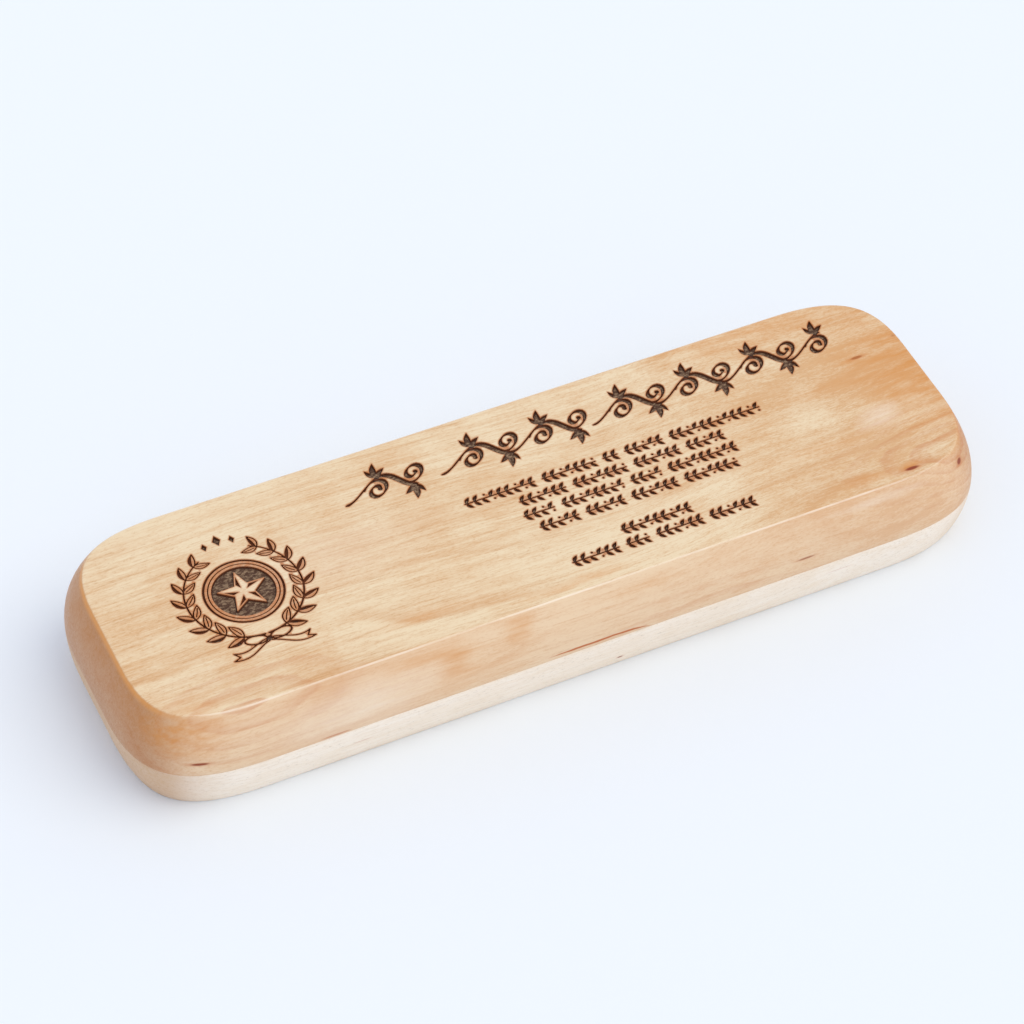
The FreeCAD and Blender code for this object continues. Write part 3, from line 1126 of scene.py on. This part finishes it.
def makePad(look):
    low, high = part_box("lid_pad")
    middle = np.array(((low + high) / 2).xy)
    halfX, halfY = (high.x - low.x) / 2, (high.y - low.y) / 2
    corner = pocketShape["corner"]
    face = high.z - look["thickness"]
    # a domed sheet over foam: rings from the ceiling down round the edge, then in across the face
    rings = []
    for inset, z in (
        (0.5 * mm, high.z), (0.12 * mm, high.z - 0.3 * mm),
        (0.05 * mm, face + 0.2 * mm), (look["edge"], face - look["dip"]),
    ):
        outline = roundedOutline(halfX - inset, halfY - inset, corner - inset, 10)
        rings.append(atHeight(outline + middle, z))
    made = bmesh.new()
    rows = vertexRings(made, rings)
    joinRings(made, rows)
    made.faces.new(rows[0])
    # the face is a fine net so that the crown, the sewn channels and the puckers are real shape
    inner = (halfX - look["edge"], halfY - look["edge"], corner - look["edge"])
    for vertex in roundedNet(made, rows[-1], middle, inner, look["netStep"]):
        x, y = vertex.co.x - middle[0], vertex.co.y - middle[1]
        across = (y / halfY + 1) * look["channels"] / 2
        lobe = abs(sin(pi * across))
        rise = min(edgeDistance(x, y, halfX, halfY, corner) / (3 * mm), 1) ** 0.5
        pucker = 0.1 * cos(2 * pi * x / look["stitch"]) * (1 - lobe) ** 4
        slow = 0.1 * sin(x * 90 + 3 * sin(y * 160)) + 0.06 * sin(x * 210 + y * 120)
        swell = rise * (0.28 + 0.62 * lobe ** 0.55 + slow * lobe) + pucker * rise
        vertex.co.z = face - look["dip"] - look["crown"] * swell
    velvet = napMaterial("blackVelvet", look)
    pad = makeObject("velvetPad", softMesh(made, "velvetPad"), "lid", "lining", velvet, "lid_pad")
    makePiping(look, middle, halfX, halfY, corner, face, velvet)
    makeStitches(look, middle, halfX, halfY, face)


def edgeDistance(x, y, halfX, halfY, corner):
    overX, overY = abs(x) - (halfX - corner), abs(y) - (halfY - corner)
    if overX > 0 and overY > 0:
        return max(corner - hypot(overX, overY), 0)
    return max(corner - max(overX, overY), 0)


def roundedNet(made, rim, middle, shape, step):
    # a grid inside the rim, triangulated up to it; returns the vertices inside
    halfX, halfY, corner = shape
    points = [Vector((v.co.x, v.co.y)) / mm for v in rim]
    lines = [(i, (i + 1) % len(rim)) for i in range(len(rim))]
    for x in np.arange(-halfX, halfX, step):
        for y in np.arange(-halfY + step / 2, halfY, step):
            if edgeDistance(x, y, halfX, halfY, corner) > step * 0.6:
                points.append(Vector((x + middle[0], y + middle[1])) / mm)
    found = geometry.delaunay_2d_cdt(points, lines, [], 1, 1e-4)
    corners, inside = [], []
    for place, origin in zip(found[0], found[3]):
        if origin and origin[0] < len(rim):
            corners.append(rim[origin[0]])
        else:
            corners.append(made.verts.new((place.x * mm, place.y * mm, 0)))
            inside.append(corners[-1])
    for triangle in found[2]:
        made.faces.new([corners[i] for i in triangle])
    return inside


def makePiping(look, middle, halfX, halfY, corner, face, material):
    # a covered cord round the pad's edge
    inset = look["piping"] + 0.12 * mm
    line = list(roundedOutline(halfX - inset, halfY - inset, corner - inset, 12))
    dense = []
    for a, b in zip(line, line[1:] + line[:1]):
        parts = max(1, int(np.hypot(*(b - a)) / (0.8 * mm)))
        dense += [a + (b - a) * t for t in np.linspace(0, 1, parts + 1)[:-1]]
    rings = []
    for number, here in enumerate(dense):
        along = dense[(number + 1) % len(dense)] - dense[number - 1]
        out = np.array([along[1], -along[0]]) / np.hypot(*along)
        plump = look["piping"] * (1 + 0.05 * sin(number * 0.9) + 0.03 * sin(number * 2.3))
        ring = []
        for angle in np.linspace(0, 2 * pi, look["pipingSides"] + 1)[:-1]:
            x, y = middle + here + out * plump * cos(angle)
            ring.append((x, y, face - 0.12 * mm + plump * sin(angle)))
        rings.append(ring)
    made = bmesh.new()
    rows = vertexRings(made, rings)
    joinRings(made, rows + rows[:1])
    makeObject("padPiping", softMesh(made, "padPiping"), "lid", "lining", material)


def makeStitches(look, middle, halfX, halfY, face):
    # short dark stitches along each sewn channel, sunk at both their ends
    made = bmesh.new()
    length, radius = look["stitch"] * 0.62, look["stitchRadius"]
    level = face - look["dip"] - look["crown"] * 0.28
    count = int((2 * halfX - look["stitchMargin"]) / look["stitch"])
    for number in range(1, look["channels"]):
        y = middle[1] - halfY + 2 * halfY * number / look["channels"]
        for place in range(count):
            x = middle[0] + (place - (count - 1) / 2) * look["stitch"]
            rings = []
            for part in np.linspace(-1, 1, 7):
                thick = radius * sqrt(1 - part ** 2 * 0.9)
                height = level - radius * (1 - part ** 2) * 1.1
                section = circle((y, height), thick, 8)[:-1]
                rings.append([(x + part * length / 2, *point) for point in section])
            closedSkin(made, rings)
    thread = napMaterial("stitchThread", threadLook)
    makeObject("padStitches", softMesh(made, "padStitches"), "lid", "lining", thread)


makeTray(trayLook)
makePad(padLook)
print("flocked tray and velvet pad are in")


# hinges, screws and magnets
metalLooks = dict(
    # colours: bright, dull and tarnished; brush: the marks run longest where this is smallest
    brushedBrass=dict(colours=("#D9B571", "#A67E42", "#6E4E22"), roughness=0.24, brush=(0.05, 1, 1)),
    screwBrass=dict(colours=("#D3A552", "#9C7030", "#5B3F1B"), roughness=0.28, brush=(1, 1, 1)),
    nickelPlate=dict(colours=("#C4C1B8", "#8E8C86", "#5F5D5A"), roughness=0.26, brush=(0.08, 1, 1)),
)
metalEdge = 0.07 * mm


def metalMaterial(name, look):
    material, place = newMaterial(name)
    brush = cloud(place, 6, look["brush"], 4, 0.65)
    patch = cloud(place, 0.35, roughness=0.55)
    scratch = cloud(place, 2.5, (1, 0.06, 0.3), 2)
    bright, dull, tarnished = look["colours"]
    colour = blend(remap(brush, 0.35, 0.7, 0, 0.45), bright, dull)
    colour = layered(
        colour, (remap(patch, 0.5, 0.72, 0, 0.5), dull), (remap(patch, 0.62, 0.8, 0, 0.35), tarnished),
    )
    rough = remap(brush, 0.3, 0.7, look["roughness"] - 0.05, look["roughness"] + 0.12)
    rough = plus(rough, remap(patch, 0.45, 0.75, 0, 0.15))
    height = plus(brush, remap(scratch, 0.68, 0.74, 0, -0.8))
    setShader(material, colour, rough, height, 0.00003, 0.45, {"Metallic": 1})
    return material


def finishMetal(node, material):
    # a CAD piece that keeps its shape: eased edges and the material
    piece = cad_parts[node]
    piece.data.materials.clear()
    piece.data.materials.append(material)
    for slot in piece.material_slots:
        slot.material = material
    weld = piece.modifiers.new("weld", "WELD")
    weld.merge_threshold = 1e-6
    ease = piece.modifiers.new("easedEdges", "BEVEL")
    ease.width = metalEdge
    ease.segments = 2
    ease.limit_method = "ANGLE"
    ease.angle_limit = radians(40)
    ease.harden_normals = True


brass, screwBrass, nickel = (metalMaterial(name, look) for name, look in metalLooks.items())
for where in ("left", "right"):
    for part in ("base_leaf", "lid_leaf", "pin"):
        finishMetal(f"hinge_{where}_{part}", brass)
    for part in ("base", "lid"):
        finishMetal(f"hinge_{where}_{part}_screws", screwBrass)
        finishMetal(f"{part}_magnet_{where}", nickel)
print("brass hinges, screws and nickel magnets are finished")
